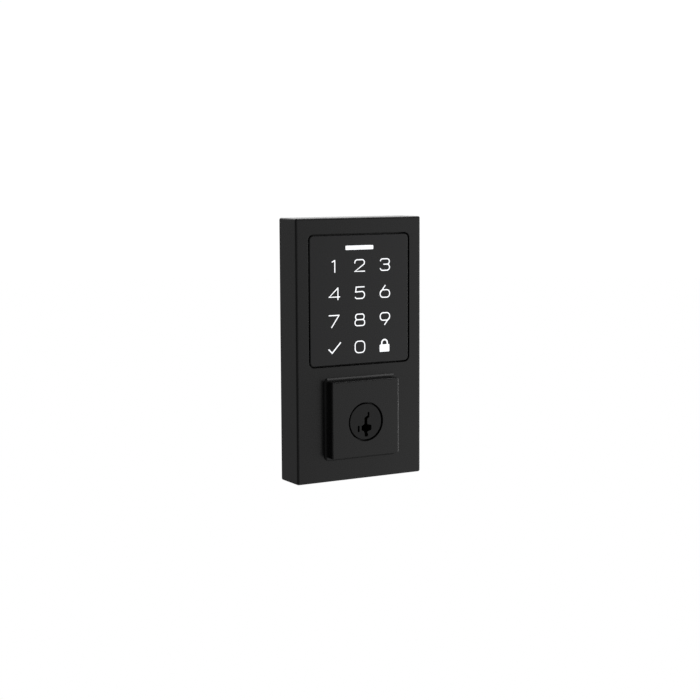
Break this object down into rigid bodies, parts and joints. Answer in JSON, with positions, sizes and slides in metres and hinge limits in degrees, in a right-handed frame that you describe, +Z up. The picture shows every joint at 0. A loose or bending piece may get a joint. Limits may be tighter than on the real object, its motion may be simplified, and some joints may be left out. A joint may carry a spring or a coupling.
{
  "type": "keypad smart lock",
  "caption": "Outside half of a keypad deadbolt: black slab housing with a flush lit touch panel, a raised square cylinder guard with keyed plug, rear gasket, threaded posts and tailpiece.",
  "frame": {"origin": "centre of the rear gasket's door face, behind the middle of the housing", "axes": "+Y into the door, -Y out of the keypad's face towards the user, +Z up, +X to the user's right"},
  "size_m": [0.0688, 0.0774, 0.126],
  "materials": {
    "black_paint": "satin black powder coat on a metal casting",
    "panel_black": "smooth black touch panel with a low sheen",
    "light_white": "white translucent plastic, lit from behind",
    "header_white": "off-white moulded connector",
    "plug_black": "black-finished plug, slightly smoother than the guard",
    "steel": "zinc-plated steel",
    "brass": "machined brass",
    "zinc": "bare die-cast zinc",
    "board_green": "green solder mask on glass-fibre board",
    "chip_black": "black moulded package",
    "carrier_grey": "dark grey moulded plastic",
    "rubber_black": "matt black foam rubber",
    "clear_acrylic": "clear acrylic light guide"
  },
  "bodies": {
    "housing": {"front_housing": "black_paint", "cylinder_guard": "black_paint", "touch_panel": "panel_black", "status_light_lens": "light_white", "status_light": "light_white", "key_light_1": "light_white", "key_light_2": "light_white", "key_light_3": "light_white", "key_light_4": "light_white", "key_light_5": "light_white", "key_light_6": "light_white", "key_light_7": "light_white", "key_light_8": "light_white", "panel_seal": "rubber_black", "light_guide": "clear_acrylic", "keypad_board": "board_green", "controller_chip": "chip_black", "buzzer": "chip_black", "cable_header": "header_white", "board_carrier": "carrier_grey", "carrier_screw_1": "steel", "carrier_screw_2": "steel", "carrier_screw_3": "steel", "carrier_screw_4": "steel", "cylinder_body": "zinc", "cylinder_screw_1": "steel", "cylinder_screw_2": "steel", "back_plate": "steel", "plate_screw_1": "steel", "plate_screw_2": "steel", "plate_screw_3": "steel", "plate_screw_4": "steel", "rear_gasket": "rubber_black", "threaded_post_left": "steel", "threaded_post_right": "steel", "cable_grommet": "rubber_black"},
    "plug": {"plug": "plug_black", "spring_cover": "steel", "plug_retainer": "steel", "side_bar": "brass", "side_bar_spring_1": "steel", "side_bar_spring_2": "steel", "pin_spring_1": "steel", "pin_spring_2": "steel", "pin_spring_3": "steel", "pin_spring_4": "steel", "pin_spring_5": "steel"},
    "pin_stack_1": {"pin_1": "brass", "wafer_1": "steel"},
    "pin_stack_2": {"pin_2": "brass", "wafer_2": "steel"},
    "pin_stack_3": {"pin_3": "brass", "wafer_3": "steel"},
    "pin_stack_4": {"pin_4": "brass", "wafer_4": "steel"},
    "pin_stack_5": {"pin_5": "brass", "wafer_5": "steel"},
    "tailpiece": {"tailpiece": "steel"}
  },
  "joints": [
    {"name": "plug_turn", "type": "hinge", "parent": "housing", "child": "plug", "pos_m": [0, -0.0221, -0.0344], "axis": [0, -1, 0], "range_deg": [-90, 90]},
    {"name": "tailpiece_play", "type": "hinge", "parent": "plug", "child": "tailpiece", "pos_m": [0, 0.0098, -0.0344], "axis": [0, -1, 0], "range_deg": [0, 90]},
    {"name": "pin_slide_1", "type": "slide", "parent": "plug", "child": "pin_stack_1", "axis": [0, 0, 1], "range_m": [0, 0.0025], "stiffness_N_per_m": 80, "springref_m": -0.003, "deforming": ["pin_spring_1"]},
    {"name": "pin_slide_2", "type": "slide", "parent": "plug", "child": "pin_stack_2", "axis": [0, 0, 1], "range_m": [0, 0.0025], "stiffness_N_per_m": 80, "springref_m": -0.003, "deforming": ["pin_spring_2"]},
    {"name": "pin_slide_3", "type": "slide", "parent": "plug", "child": "pin_stack_3", "axis": [0, 0, 1], "range_m": [0, 0.0025], "stiffness_N_per_m": 80, "springref_m": -0.003, "deforming": ["pin_spring_3"]},
    {"name": "pin_slide_4", "type": "slide", "parent": "plug", "child": "pin_stack_4", "axis": [0, 0, 1], "range_m": [0, 0.0025], "stiffness_N_per_m": 80, "springref_m": -0.003, "deforming": ["pin_spring_4"]},
    {"name": "pin_slide_5", "type": "slide", "parent": "plug", "child": "pin_stack_5", "axis": [0, 0, 1], "range_m": [0, 0.0025], "stiffness_N_per_m": 80, "springref_m": -0.003, "deforming": ["pin_spring_5"]}
  ]
}
